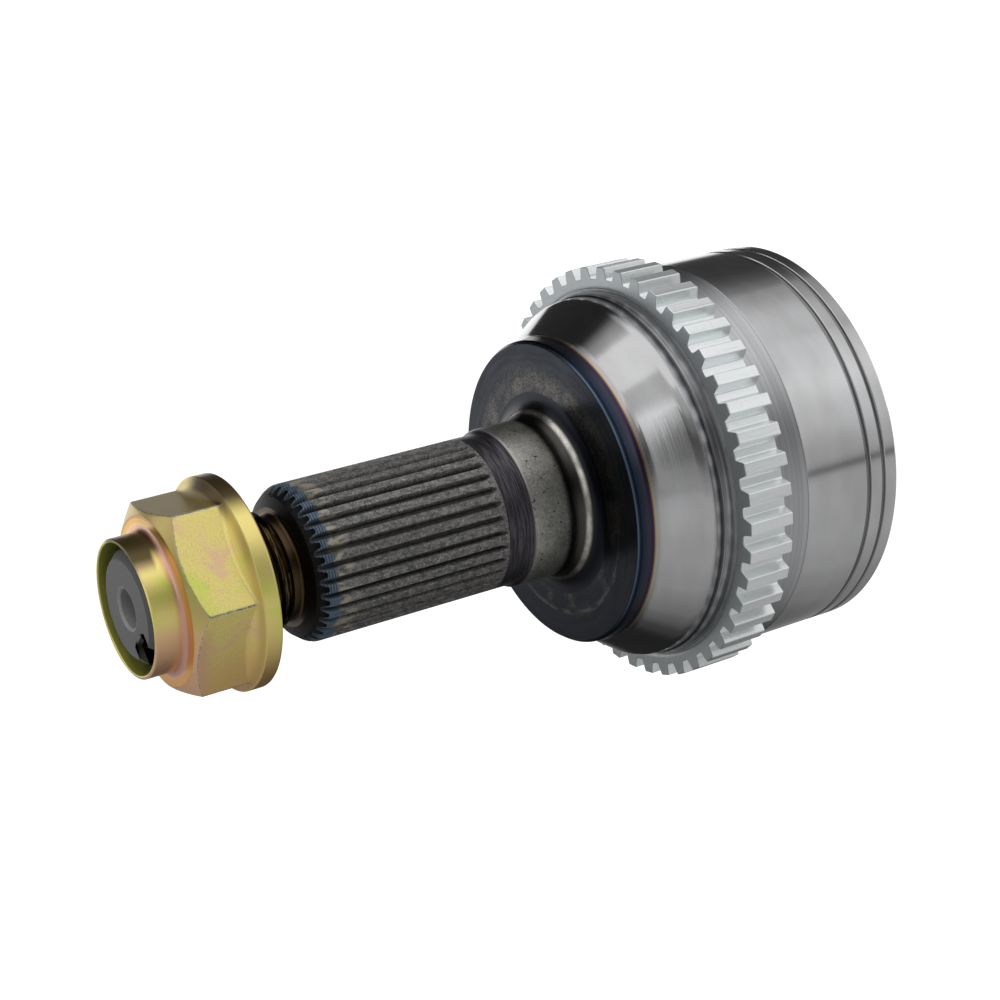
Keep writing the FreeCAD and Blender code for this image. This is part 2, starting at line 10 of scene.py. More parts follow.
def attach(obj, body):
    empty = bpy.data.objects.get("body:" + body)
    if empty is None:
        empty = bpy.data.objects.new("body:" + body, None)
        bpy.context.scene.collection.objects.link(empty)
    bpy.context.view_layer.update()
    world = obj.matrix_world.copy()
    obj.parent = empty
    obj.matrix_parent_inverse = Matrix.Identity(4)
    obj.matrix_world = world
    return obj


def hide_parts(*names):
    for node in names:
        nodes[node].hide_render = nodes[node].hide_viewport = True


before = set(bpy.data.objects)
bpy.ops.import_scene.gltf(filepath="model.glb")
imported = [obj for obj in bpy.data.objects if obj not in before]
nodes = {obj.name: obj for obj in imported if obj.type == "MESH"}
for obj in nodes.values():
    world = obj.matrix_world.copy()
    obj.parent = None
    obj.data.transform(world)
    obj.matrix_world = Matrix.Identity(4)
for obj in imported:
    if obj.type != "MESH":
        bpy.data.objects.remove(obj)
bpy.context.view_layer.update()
MM = 0.001
TURN = 360.0
DEGREES = 180 / math.pi

# Stations along X of the outer race and the ring, the same as the CAD source's
MOUTH_X = 18.0
RING_BACK_X = -9.9
RING_FRONT_X = -19.55
COLLAR_END_X = RING_BACK_X + 5.8
BELL_FLOOR_X = -25.0
FLARE_X = -32.5
HUB_X = -36.4
SHOULDER_X = HUB_X - 12.3
SPLINE_START_X = -93.75
RELIEF_X = -96.1
STUB_END_X = -122.8

# Three small forms that follow the photo more closely than the CAD source does
SPLINE_END_X = -56.2
CROWN_ROUNDING = 13.0
COLLAR_RADIUS = 37.25

# Radii of the outer race
BELL_RADIUS = 37.9
GROOVE_RADIUS = 37.35
RING_SEAT_RADIUS = 35.8
HUB_RADIUS = 29.4
HUB_FACE_RADIUS = 28.85
FLARE_RISE = 5.7
FLARE_ANGLE = 35.0
CROWN_RADIUS = HUB_RADIUS + FLARE_RISE
NECK_RADIUS = 15.2

# Hollow of the bell and its six ball tracks
BALL_SPHERE = 29.5
TRACK_OFFSET = 3.4
TRACK_CIRCLE = 7.64
BALL_CIRCLE = 26.6
TRACK_END_ANGLE = 62.0
TRACK_REACH = 37.0

# Spline, thread and staking slot of the stub
SPLINE_TEETH = 33
SPLINE_TURN = 3.9
SPLINE_RADIUS = 14.47
SPLINE_FLOOR = 13.27
GAP_MIDDLE_RADIUS = 14.0
GAP_HALF_FLOOR = 0.15
GAP_FLANK = 0.425
RUNOUT_RADIUS = 1.6
NO_GAP = 99.0
HATCH_PITCH = 0.5
THREAD_PITCH = 1.5
THREAD_STEP = THREAD_PITCH / 10
THREAD_ROOT = 10.1
THREAD_CREST = 11.0
RELIEF_RADIUS = 9.7
SLOT_ANGLE = 132.0
SLOT_HALF_WIDTH = 3.1
SLOT_FLOOR = 5.9
SLOT_RIM = 10.6
SLOT_LENGTH = 13.0

# Wheel speed ring
RING_TEETH = 45
RING_TURN = 27.9
RING_BORE = 35.83
TOOTH_TIP = 40.4
TOOTH_ROOT = 38.1
TOOTH_HALF_GAP = 1.675
TOOTH_EDGE = 0.16

# Hub nut
NUT_REAR_X = -102.8
NUT_FRONT_X = -123.1
FLANGE_X = NUT_REAR_X - 3.1
HEX_FRONT_X = -117.5
NUT_TURN = 16.4
NUT_APOTHEM = 16.0
NUT_BORE = 11.06
NUT_COLLAR_BORE = 11.75
NUT_COLLAR_RADIUS = 12.45
CONE_START = 15.25
CONE_SLOPE = math.tan(math.radians(58))
FLANGE_RADIUS = 19.4

# Every mesh: the rounding of its plain edges, and the angle in degrees from which an edge is crisp
EDGE = 0.12
CRISP_ANGLE = 32.0


# Outlines
def rounded(corners, step=7.0):
    """Points along a polyline whose corners (x, r, rounding) are arcs, with holding points beside them."""
    points = []
    for k, corner in enumerate(corners):
        here = np.array(corner[:2], float)
        radius = corner[2] if len(corner) > 2 else EDGE
        if k in (0, len(corners) - 1) or radius <= 0:
            points.append(here)
            continue
        before = np.array(corners[k - 1][:2], float) - here
        after = np.array(corners[k + 1][:2], float) - here
        len_before, len_after = np.linalg.norm(before), np.linalg.norm(after)
        before, after = before / len_before, after / len_after
        opening = math.acos(max(-1.0, min(1.0, float(before @ after))))
        if opening > math.radians(178):
            points.append(here)
            continue
        reach = radius / math.tan(opening / 2)
        room = 0.45 * min(len_before, len_after)
        if reach > room:
            radius *= room / reach
            reach = room
        centre = here + (before + after) / np.linalg.norm(before + after) * radius / math.sin(opening / 2)
        start, end = here + before * reach, here + after * reach
        swing = math.pi - opening
        count = max(2, int(math.ceil(math.degrees(swing) / step)))
        hold = min(EDGE, 0.3 * reach + 0.02)
        points.append(start + before * hold)
        one, two = start - centre, end - centre
        for n in range(count + 1):
            t = n / count
            mixed = (math.sin((1 - t) * swing) * one + math.sin(t * swing) * two) / math.sin(swing)
            points.append(centre + mixed)
        points.append(end + after * hold)
    return np.array(points)


def smooth_max(a, b, k):
    h = np.maximum(k - np.abs(a - b), 0.0) / k
    return np.maximum(a, b) + h * h * k / 4


def smooth_min(a, b, k):
    return -smooth_max(-a, -b, k)


# Meshes
def link(obj):
    bpy.context.scene.collection.objects.link(obj)
    return obj


def mesh_object(name, verts, faces, zones=None):
    """A smooth-shaded mesh from points in millimetres, with its sharp edges kept crisp."""
    mesh = bpy.data.meshes.new(name)
    mesh.vertices.add(len(verts))
    mesh.vertices.foreach_set("co", (np.asarray(verts, np.float64) * MM).astype(np.float32).ravel())
    sizes = np.array([len(f) for f in faces], np.int32)
    mesh.loops.add(int(sizes.sum()))
    mesh.loops.foreach_set("vertex_index", np.fromiter((v for f in faces for v in f), np.int32))
    mesh.polygons.add(len(faces))
    starts = np.concatenate([[0], np.cumsum(sizes)[:-1]]).astype(np.int32)
    mesh.polygons.foreach_set("loop_start", starts)
    mesh.polygons.foreach_set("use_smooth", np.ones(len(faces), bool))
    if zones is not None:
        mesh.polygons.foreach_set("material_index", np.asarray(zones, np.int32))
    mesh.update(calc_edges=True)
    mesh.validate()
    mesh.set_sharp_from_angle(angle=math.radians(CRISP_ANGLE))
    return link(bpy.data.objects.new(name, mesh))


def skin(name, x, r, phi, loop=False, row_zones=None):
    """A closed skin over rows of points given by station, radius and angle from +Z towards -Y. In a loop the
    last row joins the first, and otherwise a point on the axis closes each end."""
    rows, cols = r.shape
    angle = np.radians(np.broadcast_to(phi, r.shape))
    verts = np.stack([x, -r * np.sin(angle), r * np.cos(angle)], axis=-1).reshape(-1, 3)
    ring = np.arange(cols)
    after = (ring + 1) % cols
    bands = rows if loop else rows - 1
    faces = []
    for i in range(bands):
        a, b = i * cols, ((i + 1) % rows) * cols
        faces.append(np.stack([a + ring, a + after, b + after, b + ring], axis=1))
    faces = [tuple(f) for f in np.concatenate(faces).tolist()]
    if not loop:
        first_pole, last_row = len(verts), (rows - 1) * cols
        verts = np.vstack([verts, [[x[0, 0], 0, 0], [x[-1, 0], 0, 0]]])
        faces += [(first_pole, int(b), int(a)) for a, b in zip(ring, after)]
        faces += [(first_pole + 1, int(last_row + a), int(last_row + b)) for a, b in zip(ring, after)]
    zones = None
    if row_zones is not None:
        zones = np.repeat([*row_zones[:bands], row_zones[0], row_zones[-1]], cols)
    return mesh_object(name, verts, faces, zones)


# Outer race: stub, bell and the hollow with its six tracks, as one closed skin
PITCH = TURN / SPLINE_TEETH
IN_PITCH = [-4.5, -3.55, -2.8, -2.45, -1.95, -1.3, -0.648, 0.648, 1.3, 1.95, 2.45, 2.8, 3.55, 4.5, PITCH / 2]
PHI = np.array([SPLINE_TURN + k * PITCH + d for k in range(SPLINE_TEETH) for d in IN_PITCH])
FROM_GAP = np.radians([d for _ in range(SPLINE_TEETH) for d in IN_PITCH])
END, THREAD, SPLINE, STUB, HUB, BELL, HOLLOW = range(7)    # zones with a finish of their own


class Rows:
    """Rows of points along the outer race, each with the zone that starts at it."""

    def __init__(self):
        self.zones, self.x, self.r, self.phi = [], [], [], []

    def add(self, zone, x, r, phi=PHI):
        self.zones.append(zone)
        self.x.append(np.full(PHI.shape, float(x)))
        self.r.append(np.broadcast_to(np.asarray(r, float), PHI.shape))
        self.phi.append(phi)


def gap_radius(x):
    """Radius of the spline gap's flanks and floor at a station, over all columns."""
    across = GAP_MIDDLE_RADIUS * np.abs(np.sin(FROM_GAP))
    height = SPLINE_FLOOR + np.maximum(0.0, (across - GAP_HALF_FLOOR) / GAP_FLANK)
    past = x - SPLINE_END_X
    if past > 0:
        pivot = SPLINE_FLOOR + RUNOUT_RADIUS
        arm = np.maximum(pivot - height, 0.0)
        lifted = pivot - np.sqrt(np.maximum(arm ** 2 - past ** 2, 0.0))
        height = np.where(arm > past, lifted, NO_GAP)
    return np.where(height < NO_GAP, height / np.cos(FROM_GAP), NO_GAP)


def thread_radius(x):
    """Radius of the helical thread at a station, over all columns."""
    phase = (x / THREAD_PITCH - PHI / TURN) % 1.0
    rise = np.clip((0.375 - np.abs(phase - 0.5)) / 0.3125, 0.0, 1.0)
    ridge = THREAD_ROOT + rise * (THREAD_CREST - THREAD_ROOT)
    lead_in = THREAD_ROOT - 1.3 + (x - STUB_END_X)
    lead_out = THREAD_ROOT + (RELIEF_X - x)
    return np.minimum(np.minimum(ridge, lead_in), np.maximum(lead_out, THREAD_ROOT - 0.05))


def slot_outline(radius, angle):
    """Moves the columns over the staking slot onto its walls and floor."""
    radius, angle = radius.copy(), angle.copy()
    half = math.degrees(math.asin(SLOT_HALF_WIDTH / SLOT_RIM))
    delta = (angle - SLOT_ANGLE + TURN / 2) % TURN - TURN / 2
    inside = np.where(np.abs(delta) < half)[0]
    inside = inside[np.argsort(delta[inside])]
    top = math.sqrt(SLOT_RIM ** 2 - SLOT_HALF_WIDTH ** 2)
    wall = top - SLOT_FLOOR
    length = 2 * wall + 2 * SLOT_HALF_WIDTH
    for n, column in enumerate(inside):
        s = (n + 0.5) / len(inside) * length
        if s < wall:
            t, h = -SLOT_HALF_WIDTH, top - s
        elif s < wall + 2 * SLOT_HALF_WIDTH:
            t, h = s - wall - SLOT_HALF_WIDTH, SLOT_FLOOR
        else:
            t, h = SLOT_HALF_WIDTH, SLOT_FLOOR + (s - wall - 2 * SLOT_HALF_WIDTH)
        radius[column] = min(math.hypot(t, h), radius[column]) if h > SLOT_FLOOR else math.hypot(t, h)
        angle[column] = SLOT_ANGLE + math.degrees(math.atan2(t, h))
    return radius, angle


def track_radius(x, delta):
    """Outer reach of a ball track along rays at angles delta from the track's middle plane, or zero."""
    arc = math.hypot(BALL_CIRCLE, TRACK_OFFSET)
    along = x - TRACK_OFFSET
    c, s = np.cos(delta), np.sin(delta)

    def outside(r):
        return (np.sqrt(along ** 2 + (r * c) ** 2) - arc) ** 2 + (r * s) ** 2 - TRACK_CIRCLE ** 2

    low = np.sqrt(np.maximum(arc ** 2 - along ** 2, 0.0)) / c
    high = np.full(delta.shape, TRACK_REACH)
    hit = outside(low) < 0
    for _ in range(30):
        middle = (low + high) / 2
        inner = outside(middle) < 0
        low = np.where(inner, middle, low)
        high = np.where(inner, high, middle)
    in_sweep = (low * c >= -along) & (low * c * math.tan(math.radians(TRACK_END_ANGLE)) >= along)
    return np.where(hit & in_sweep, low, 0.0)


def end_rows(rows):
    """The stub's end face round its centre bore, with the mouth of the staking slot."""
    bore, rim = 3.5, 5.0
    for x, r in rounded([(STUB_END_X + 10.0, 0.05), (STUB_END_X + 8.0, bore), (STUB_END_X + 0.4, bore),
                         (STUB_END_X, bore + 0.4), (STUB_END_X, rim)]):
        rows.add(END, x, r)
    slot_r, slot_phi = slot_outline(np.full(PHI.shape, THREAD_ROOT - 1.3), PHI)
    for share in (0.35, 0.7, 0.95, 1.0):
        rows.add(END, STUB_END_X, rim + (slot_r - rim) * share, PHI + (slot_phi - PHI) * share)


def thread_rows(rows):
    """The thread, with the staking slot through its first turns."""
    slot_end = STUB_END_X + SLOT_LENGTH
    for x in np.arange(STUB_END_X + 0.1, RELIEF_X, THREAD_STEP):
        if x < slot_end:
            rows.add(THREAD if x > STUB_END_X + 1.2 else END, x, *slot_outline(thread_radius(x), PHI))
            continue
        if x - slot_end < THREAD_STEP:
            rows.add(THREAD, slot_end, *slot_outline(thread_radius(slot_end), PHI))
        rows.add(THREAD, x, thread_radius(x))


def spline_rows(rows):
    """The relief behind the thread and the spline, whose gaps run out in arcs."""
    relief = rounded([(RELIEF_X, THREAD_ROOT - 0.05), (RELIEF_X + 0.5, RELIEF_RADIUS),
                      (SPLINE_START_X, RELIEF_RADIUS, 0.8), (SPLINE_START_X, 11.0, 0.2),
                      (SPLINE_START_X + 0.75, 12.85, 0.6), (SPLINE_START_X + 2.85, SPLINE_RADIUS, 2.5),
                      (SPLINE_END_X + 4.0, SPLINE_RADIUS, 0)])
    stations = [(x, r) for x, r in relief if x < SPLINE_START_X + 4.0]
    stations += [(x, SPLINE_RADIUS) for x in np.arange(SPLINE_START_X + 4.2, SPLINE_END_X, 1.2)]
    stations += [(x, SPLINE_RADIUS) for x in np.arange(SPLINE_END_X, SPLINE_END_X + 1.75, 0.08)]
    for x, r in stations:
        started = x >= SPLINE_START_X - 0.001
        gap = gap_radius(x) if started else np.full(PHI.shape, NO_GAP)
        rows.add(SPLINE if started and r > 10.5 else THREAD, x, smooth_min(np.full(PHI.shape, r), gap, 0.06))


def bell_rows(rows):
    """The shoulder, the hub, the flare, the ring's seat, the collar and the bell with its two grooves."""
    crown_x = HUB_X + 3.9 + FLARE_RISE / math.tan(math.radians(FLARE_ANGLE))
    bell = rounded([
        (SPLINE_END_X + 1.9, SPLINE_RADIUS), (SHOULDER_X - 1.4, SPLINE_RADIUS, 1.2),
        (SHOULDER_X, NECK_RADIUS, 1.2), (HUB_X, NECK_RADIUS, 4.3), (HUB_X, HUB_FACE_RADIUS),
        (HUB_X + 0.8, HUB_RADIUS), (HUB_X + 3.9, HUB_RADIUS, 4.0), (crown_x, CROWN_RADIUS, CROWN_ROUNDING),
        (RING_FRONT_X - 2.3, CROWN_RADIUS), (RING_FRONT_X - 2.05, CROWN_RADIUS + 0.25),
        (RING_FRONT_X, RING_SEAT_RADIUS, 0.02), (RING_BACK_X - 0.02, RING_SEAT_RADIUS, 0.02),
        (RING_BACK_X, COLLAR_RADIUS), (COLLAR_END_X, BELL_RADIUS - 0.08, 0.04),
        (COLLAR_END_X + 0.08, BELL_RADIUS, 0.04),
        (9.8, BELL_RADIUS), (10.0, GROOVE_RADIUS), (10.8, GROOVE_RADIUS), (11.0, BELL_RADIUS),
        (13.5, BELL_RADIUS), (13.7, GROOVE_RADIUS), (14.3, GROOVE_RADIUS), (14.5, BELL_RADIUS),
        (16.9, BELL_RADIUS), (MOUTH_X, BELL_RADIUS - 1.1), (MOUTH_X, 33.4)])
    for x, r in bell:
        rows.add(STUB if r < 19.6 else HUB if x < FLARE_X else BELL, x, r)


def hollow_rows(rows):
    """The hollow: ball sphere, mouth cone and six tracks, down to the bell's floor."""
    delta = np.radians(PHI % 60 - 30)
    inwards = np.arange(MOUTH_X - 0.3, BELL_FLOOR_X + 0.1, -0.36)
    for x in (MOUTH_X, MOUTH_X - 0.08, *inwards, BELL_FLOOR_X + 0.04):
        sphere = np.full(PHI.shape, math.sqrt(BALL_SPHERE ** 2 - x * x))
        cone = np.full(PHI.shape, x - MOUTH_X + 33.2)
        rows.add(HOLLOW, x, smooth_max(smooth_max(sphere, cone, 0.5), track_radius(x, delta), 0.45))
    for r in (15.6, 15.0, 4.0):
        rows.add(HOLLOW, BELL_FLOOR_X, r)


def build_outer_race():
    rows = Rows()
    for add_rows in (end_rows, thread_rows, spline_rows, bell_rows, hollow_rows):
        add_rows(rows)
    x, r, phi = np.array(rows.x), np.array(rows.r), np.array(rows.phi)
    return skin("outer_race_forging", x, r, phi, row_zones=rows.zones)


# Wheel speed ring
def build_tone_ring():
    half_pitch = TURN / RING_TEETH / 2
    tip_angle = half_pitch - math.degrees(math.asin(TOOTH_HALF_GAP / TOOTH_TIP))
    reach = TOOTH_TIP * math.sin(math.radians(half_pitch))
    flank = rounded([(0.0, TOOTH_ROOT), (0.95, TOOTH_ROOT, 0.5), (TOOTH_HALF_GAP, TOOTH_TIP - 0.02, 0.22),
                     (reach, TOOTH_TIP - 0.02)], step=15)
    half = [(math.degrees(math.atan2(t, n)), math.hypot(t, n)) for t, n in flank if t < 2.0]
    half += [(half_pitch - tip_angle * f, TOOTH_TIP) for f in (0.6, 0.25)]
    side = [(d, r) for d, r in half if d > 0.01]
    tooth = [(-d, r) for d, r in reversed(side)] + [half[0]] + side + [(half_pitch, TOOTH_TIP)]
    phi = np.array([RING_TURN + half_pitch * (2 * k + 1) + d for k in range(RING_TEETH) for d, _ in tooth])
    out = np.array([r for _ in range(RING_TEETH) for _, r in tooth])
    floor = np.minimum(out, TOOTH_ROOT) - 0.55
    ones = np.ones_like(out)
    front, back, edge = RING_FRONT_X, RING_BACK_X - 0.03, TOOTH_EDGE
    rows = [(front + 0.5, RING_BORE * ones), (front + 0.12, 36.2 * ones), (front, 36.45 * ones),
            (front, 37.0 * ones), (front, floor), (front, out - edge * 1.6), (front, out - edge),
            (front + edge * 0.3, out - edge * 0.3), (front + edge, out), (front + edge * 2, out)]
    rows += [(front + share * (back - front), out) for share in (0.2, 0.4, 0.6, 0.8)]
    rows += [(back - edge * 2, out), (back - edge, out), (back - edge * 0.3, out - edge * 0.3),
             (back, out - edge), (back, out - edge * 1.6), (back, floor), (back, 36.3 * ones),
             (back, RING_BORE * ones)]
    x = np.array([np.full_like(out, x) for x, _ in rows])
    r = np.array([r for _, r in rows])
    return skin("speed_ring", x, r, phi, loop=True)


# Hub nut
def nut_head_rows(phi):
    """Rows over the face, the chamfered hexagon and the skirt that leads to the flange."""
    from_flat = np.radians((phi - NUT_TURN) % 60 - 30)
    to_corner = math.pi / 3 - np.abs(from_flat)
    hexagon = smooth_min(NUT_APOTHEM / np.cos(from_flat), NUT_APOTHEM / np.cos(to_corner), 0.25)
    face = rounded([(NUT_FRONT_X + 1.0, NUT_COLLAR_RADIUS), (HEX_FRONT_X, NUT_COLLAR_RADIUS, 1.1),
                    (HEX_FRONT_X, CONE_START, 0.25), (HEX_FRONT_X + 3.0, CONE_START + 3.0 * CONE_SLOPE)])
    face = [(x, r) for x, r in face if r < 15.9]
    behind = np.arange(face[-1][0] + 0.1, FLANGE_X - 0.05, 0.12)
    rows = []
    for x, r in face[1:] + [(x, CONE_START + (x - HEX_FRONT_X) * CONE_SLOPE) for x in behind]:
        cone = np.full_like(phi, r)
        head = smooth_min(hexagon, cone, 0.22) if r > 15.4 else cone
        skirt = np.full_like(phi, FLANGE_RADIUS + (x - FLANGE_X) * 3.4 / 1.9)
        rows.append((x, smooth_max(head, skirt, 0.9) if x > -112 else head))
    return rows


def build_nut():
    near_corner = np.array([-0.3, -0.1, 0.1, 0.3])
    corners = [NUT_TURN + 60 * k + near_corner for k in range(6)]
    phi = np.unique(np.concatenate([np.arange(0, 360, 0.75) + NUT_TURN] + corners))
    inner = rounded([(NUT_REAR_X, 12.0), (NUT_REAR_X - 0.9, NUT_BORE), (NUT_FRONT_X + 7.6, NUT_BORE),
                     (NUT_FRONT_X + 6.6, NUT_COLLAR_BORE, 0.3), (NUT_FRONT_X, NUT_COLLAR_BORE, 0.25),
                     (NUT_FRONT_X, NUT_COLLAR_RADIUS, 0.3), (NUT_FRONT_X + 1.0, NUT_COLLAR_RADIUS)])
    flange = rounded([(FLANGE_X - 0.1, FLANGE_RADIUS - 0.15), (FLANGE_X, FLANGE_RADIUS, 0.5),
                      (NUT_REAR_X, FLANGE_RADIUS, 0.5), (NUT_REAR_X, 14.0), (NUT_REAR_X, 12.2)])
    rows = [(x, np.full_like(phi, r)) for x, r in inner]
    rows += nut_head_rows(phi)
    rows += [(x, np.full_like(phi, r)) for x, r in flange[1:]]
    x = np.array([np.full_like(phi, x) for x, _ in rows])
    r = np.array([np.minimum(r, FLANGE_RADIUS) for _, r in rows])
    return skin("hub_nut_body", x, r, phi, loop=True)


forging = build_outer_race()
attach(forging, "outer_race")
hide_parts("outer_race")
ring = build_tone_ring()
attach(ring, "outer_race")
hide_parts("tone_ring")
nut = build_nut()
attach(nut, "hub_nut")
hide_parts("hub_nut")


# Camera, at the photograph's viewing angle, in metres
CAMERA_AT = Vector((-0.2471, -0.3134, 0.1776))
RIGHT = Vector((0.8432, -0.5377, 0.0))
UP = Vector((0.2304, 0.3612, 0.9036))
AHEAD = Vector((0.4858, 0.7619, -0.4284))
camera = link(bpy.data.objects.new("camera", bpy.data.cameras.new("camera")))
camera.data.lens = 79.14
camera.data.sensor_width = 36.0
camera.data.clip_start = 0.01
turn = Matrix((RIGHT, UP, -AHEAD)).transposed().to_4x4()
camera.matrix_world = Matrix.Translation(CAMERA_AT) @ turn
bpy.context.scene.camera = camera


# Materials, written with short calls on one node tree
class Look:
    """A material's node tree, with the joint's own coordinates in millimetres ready for use."""

    def __init__(self, name, shader="ShaderNodeBsdfPrincipled"):
        self.material = bpy.data.materials.new(name)
        self.material.use_nodes = True
        self.tree = self.material.node_tree
        self.tree.nodes.clear()
        self.output = self.tree.nodes.new("ShaderNodeOutputMaterial")
        self.shader = self.tree.nodes.new(shader)
        self.tree.links.new(self.shader.outputs[0], self.output.inputs["Surface"])
        place = self.node("ShaderNodeTexCoord").outputs["Object"]
        parts = self.node("ShaderNodeSeparateXYZ", place).outputs
        self.x, self.y, self.z = [self.times(part, 1000.0) for part in parts]
        self.r = self.length(self.y, self.z)

    def node(self, kind, *values, **options):
        node = self.tree.nodes.new(kind)
        for key, value in options.items():
            setattr(node, key, value)
        for number, value in enumerate(values):
            self.put(node.inputs[number], value)
        return node

    def put(self, socket, value):
        if isinstance(value, bpy.types.NodeSocket):
            self.tree.links.new(value, socket)
        elif value is not None:
            if isinstance(value, tuple) and len(value) == 3 and socket.type == "RGBA":
                value = (*value, 1.0)
            socket.default_value = value

    def set(self, **values):
        for name, value in values.items():
            self.put(self.shader.inputs[name.replace("_", " ")], value)

    def math(self, operation, *values):
        return self.node("ShaderNodeMath", *values, operation=operation).outputs[0]

    def times(self, product, *factors):
        for factor in factors:
            product = self.math("MULTIPLY", product, factor)
        return product

    def plus(self, one, two):
        return self.math("ADD", one, two)

    def minus(self, one, two):
        return self.math("SUBTRACT", one, two)

    def length(self, one, two):
        return self.math("SQRT", self.plus(self.times(one, one), self.times(two, two)))

    def angle(self):
        """Degrees round the axis, from +Z towards -Y."""
        return self.times(self.math("ARCTAN2", self.times(self.y, -1.0), self.z), DEGREES)

    def step(self, value, low, high, at_low=0.0, at_high=1.0):
        """Goes smoothly from one value to another while the input runs from low to high."""
        node = self.node("ShaderNodeMapRange", value, low, high, at_low, at_high,
                         interpolation_type="SMOOTHSTEP")
        return node.outputs[0]

    def band(self, value, start, full, fall, end):
        """1 while the input runs from full to fall, and 0 before start and past end."""
        return self.times(self.step(value, start, full), self.step(value, end, fall))

    def ramp(self, value, *stops):
        """Colours along a line of positions; the first and last go on past the ends."""
        colour = stops[0][1]
        for (low, _), (high, after) in zip(stops, stops[1:]):
            colour = self.mix(self.step(value, low, high), colour, after)
        return colour

    def mix(self, share, one, two):
        node = self.node("ShaderNodeMix", data_type="RGBA")
        for socket, value in zip((node.inputs[0], node.inputs[6], node.inputs[7]), (share, one, two)):
            self.put(socket, value)
        return node.outputs[2]

    def noise(self, along, outward, across, detail=3.0, rough=0.5, warp=0.0):
        """Noise with its own cycles per millimetre along the axis, away from it and across the section."""
        depth = self.math("MULTIPLY_ADD", self.x, along, self.times(self.r, outward))
        y, z = self.times(self.y, across), self.times(self.z, across)
        place = self.node("ShaderNodeCombineXYZ", depth, y, z)
        node = self.node("ShaderNodeTexNoise", noise_dimensions="3D")
        for name, value in (("Vector", place.outputs[0]), ("Scale", 1.0), ("Detail", detail),
                            ("Roughness", rough), ("Distortion", warp)):
            self.put(node.inputs[name], value)
        return node.outputs[0]

    def speckle(self, share, one, two, cycles, low, high):
        """Puts a second colour over the first in fine specks, where the share field allows."""
        specks = self.step(self.noise(cycles, 0.0, cycles, detail=2.0), low, high)
        return self.mix(self.times(specks, share), one, two)

    def bump(self, height, depth):
        node = self.node("ShaderNodeBump")
        for name, value in (("Strength", 1.0), ("Distance", depth * MM), ("Height", height)):
            self.put(node.inputs[name], value)
        return node.outputs["Normal"]


def grey(level):
    return (level, level, level)


# Outer race
def end_look():
    look = Look("shaft_end")
    grain = look.noise(2.5, 0.0, 2.5)
    bore = look.step(look.r, 4.15, 3.85)
    face = look.mix(grain, grey(0.12), grey(0.15))
    base = look.mix(bore, face, look.mix(grain, grey(0.28), grey(0.40)))
    look.set(Base_Color=base, Metallic=0.15, Specular_IOR_Level=0.2, Roughness=0.5,
             Normal=look.bump(grain, 0.01))
    return look


def thread_look():
    """Blackened steel with brown oil, and a plain brown relief."""
    look = Look("stub_thread")
    tint = look.noise(0.15, 0.4, 0.12, warp=0.5)
    base = look.ramp(tint, (0.40, (0.012, 0.010, 0.010)), (0.54, (0.045, 0.035, 0.024)),
                     (0.68, (0.18, 0.13, 0.06)))
    relief = look.step(look.x, RELIEF_X - 0.2, RELIEF_X + 0.4)
    base = look.mix(relief, base, (0.075, 0.05, 0.026))
    look.set(Base_Color=base, Metallic=1.0, Roughness=0.27,
             Normal=look.bump(look.noise(2.0, 4.0, 0.15), 0.01))
    return look


def spline_look():
    """From the front: a black scalloped end, hatched blue, straw blobs, then mottled lands with light specks
    as painted glints, and painted shade in the gaps.
    """
    look = Look("stub_spline")
    mottle = look.noise(0.9, 0.0, 1.5, detail=5.0, rough=0.7)
    fine = look.noise(2.2, 0.0, 2.6)
    land = look.mix(look.step(mottle, 0.36, 0.66), (0.085, 0.083, 0.086), (0.225, 0.218, 0.205))
    # The light specks on the lands are painted glints.
    land = look.speckle(0.55, land, (0.46, 0.45, 0.42), 2.6, 0.54, 0.70)
    hatch = look.step(look.math("SINE", look.times(look.x, 2 * math.pi / HATCH_PITCH)), 0.0, 0.8)
    upper = look.step(look.z, -5.0, 2.0)
    blue = look.mix(look.times(hatch, upper, 0.8), (0.10, 0.145, 0.20), (0.015, 0.018, 0.022))
    blob = look.noise(0.35, 0.0, 0.9, detail=2.0)
    straw = look.mix(look.step(blob, 0.47, 0.62), land, (0.38, 0.355, 0.28))
    uneven = look.plus(look.x, look.times(look.noise(0.0, 0.0, 0.28), 6.0))
    base = look.ramp(uneven, (-86.6, blue), (-85.8, straw), (-83.6, straw), (-81.6, land))
    from_gap = look.math("PINGPONG", look.minus(look.angle(), SPLINE_TURN), PITCH / 2)
    scalloped = look.minus(look.x, look.step(from_gap, 1.6, 4.2, 0.0, 1.3))
    lit = look.step(scalloped, -92.5, -92.3)
    base = look.mix(lit, (0.006, 0.006, 0.007), base)
    # Painted shade: the gaps are darkened towards their floors, where the teeth would shade them.
    outside_gap_shade = look.step(look.r, SPLINE_FLOOR, SPLINE_RADIUS - 0.15)
    base = look.mix(outside_gap_shade, look.mix(0.8, base, (0.02, 0.02, 0.022)), base)
    look.set(Base_Color=base, Metallic=look.step(lit, 0.0, 1.0, 1.0, 0.4),
             Roughness=look.step(mottle, 0.3, 0.7, 0.55, 0.42),
             Normal=look.bump(look.plus(fine, mottle), 0.04))
    return look


